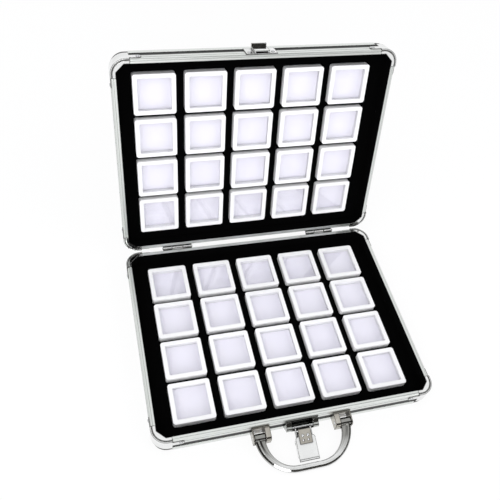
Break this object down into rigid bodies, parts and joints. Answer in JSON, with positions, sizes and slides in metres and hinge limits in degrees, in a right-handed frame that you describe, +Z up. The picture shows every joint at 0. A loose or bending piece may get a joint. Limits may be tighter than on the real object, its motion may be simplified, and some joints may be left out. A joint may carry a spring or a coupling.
{
  "type": "mineral specimen box",
  "caption": "Flat aluminium-framed case, open on its back hinges, with white window-topped gem jars in black foam in both halves, a swinging front handle and a toggle latch.",
  "frame": {"origin": "centre of the lower half's flat underside, on the table", "axes": "+X to the right seen from the front, +Y from the handle towards the hinges, +Z up; the lid stands open as at rest"},
  "size_m": [0.2788, 0.3324, 0.2269],
  "materials": {
    "aluminium_rail": "bright satin anodised extrusion",
    "chrome_fittings": "polished pressed steel, plated",
    "steel_pins": "bright drawn wire",
    "black_panel": "black laminated board, satin",
    "black_lining": "thin black plastic sheet with a flocked face",
    "black_foam": "black cut foam",
    "white_jar": "smooth white moulding",
    "white_pad": "soft white foam pad",
    "clear_window": "clear plate"
  },
  "bodies": {
    "base": {"base_shell": "black_panel", "base_rail_front": "aluminium_rail", "base_rail_back": "aluminium_rail", "base_rail_left": "aluminium_rail", "base_rail_right": "aluminium_rail", "base_bottom_trims": "aluminium_rail", "base_cap_front_left": "chrome_fittings", "base_cap_front_right": "chrome_fittings", "base_cap_back_left": "chrome_fittings", "base_cap_back_right": "chrome_fittings", "base_cap_rivets": "chrome_fittings", "base_lining": "black_lining", "base_foam": "black_foam", "base_jar_trays": "white_jar", "base_jar_pads": "white_pad", "base_jar_covers": "white_jar", "base_jar_windows": "clear_window", "hinge_left_base_leaf": "chrome_fittings", "hinge_left_pin": "steel_pins", "hinge_right_base_leaf": "chrome_fittings", "hinge_right_pin": "steel_pins", "hinge_base_rivets": "chrome_fittings", "handle_bracket_left": "chrome_fittings", "handle_bracket_right": "chrome_fittings", "handle_pins": "steel_pins", "front_screws": "steel_pins", "latch_base": "chrome_fittings", "latch_base_pin": "steel_pins"},
    "lid": {"lid_shell": "black_panel", "lid_rail_front": "aluminium_rail", "lid_rail_back": "aluminium_rail", "lid_rail_left": "aluminium_rail", "lid_rail_right": "aluminium_rail", "lid_bottom_trims": "aluminium_rail", "lid_cap_front_left": "chrome_fittings", "lid_cap_front_right": "chrome_fittings", "lid_cap_back_left": "chrome_fittings", "lid_cap_back_right": "chrome_fittings", "lid_cap_rivets": "chrome_fittings", "lid_lining": "black_lining", "lid_foam": "black_foam", "lid_jar_trays": "white_jar", "lid_jar_pads": "white_pad", "lid_jar_covers": "white_jar", "lid_jar_windows": "clear_window", "hinge_left_lid_leaf": "chrome_fittings", "hinge_right_lid_leaf": "chrome_fittings", "hinge_lid_rivets": "chrome_fittings", "catch_plate": "chrome_fittings", "catch_rivets": "chrome_fittings"},
    "handle": {"handle": "chrome_fittings"},
    "latch_link": {"latch_link": "chrome_fittings"},
    "latch_lever": {"latch_lever": "chrome_fittings", "latch_link_pin": "steel_pins", "latch_hook": "chrome_fittings", "latch_hook_rivets": "steel_pins"},
    "jar": {"loose_jar_tray": "white_jar", "loose_jar_pad": "white_pad"},
    "jar_cover": {"loose_jar_cover": "white_jar", "loose_jar_window": "clear_window"}
  },
  "joints": [
    {"name": "lid_hinge", "type": "hinge", "parent": "base", "child": "lid", "pos_m": [0, 0.1062, 0.0217], "axis": [1, 0, 0], "range_deg": [0, 106]},
    {"name": "handle_swing", "type": "hinge", "parent": "base", "child": "handle", "pos_m": [0, -0.1124, 0.011], "axis": [-1, 0, 0], "range_deg": [0, 104.07]},
    {"name": "latch_link_swing", "type": "hinge", "parent": "base", "child": "latch_link", "pos_m": [0, -0.1094, 0.0115], "axis": [-1, 0, 0], "range_deg": [0, 107.79]},
    {"name": "latch_lever_swing", "type": "hinge", "parent": "latch_link", "child": "latch_lever", "pos_m": [0, -0.12317, 0.00729], "axis": [1, 0, 0], "range_deg": [0, 180.8]},
    {"name": "jar_lift", "type": "slide", "parent": "base", "child": "jar", "axis": [0, 0, 1], "range_m": [0, 0.008]},
    {"name": "cover_lift", "type": "slide", "parent": "jar", "child": "jar_cover", "axis": [0, 0, 1], "range_m": [0, 0.006]}
  ],
  "couplings": [
    {"joint": "latch_lever_swing", "follows": "latch_link_swing", "ratio": 1.6771}
  ]
}
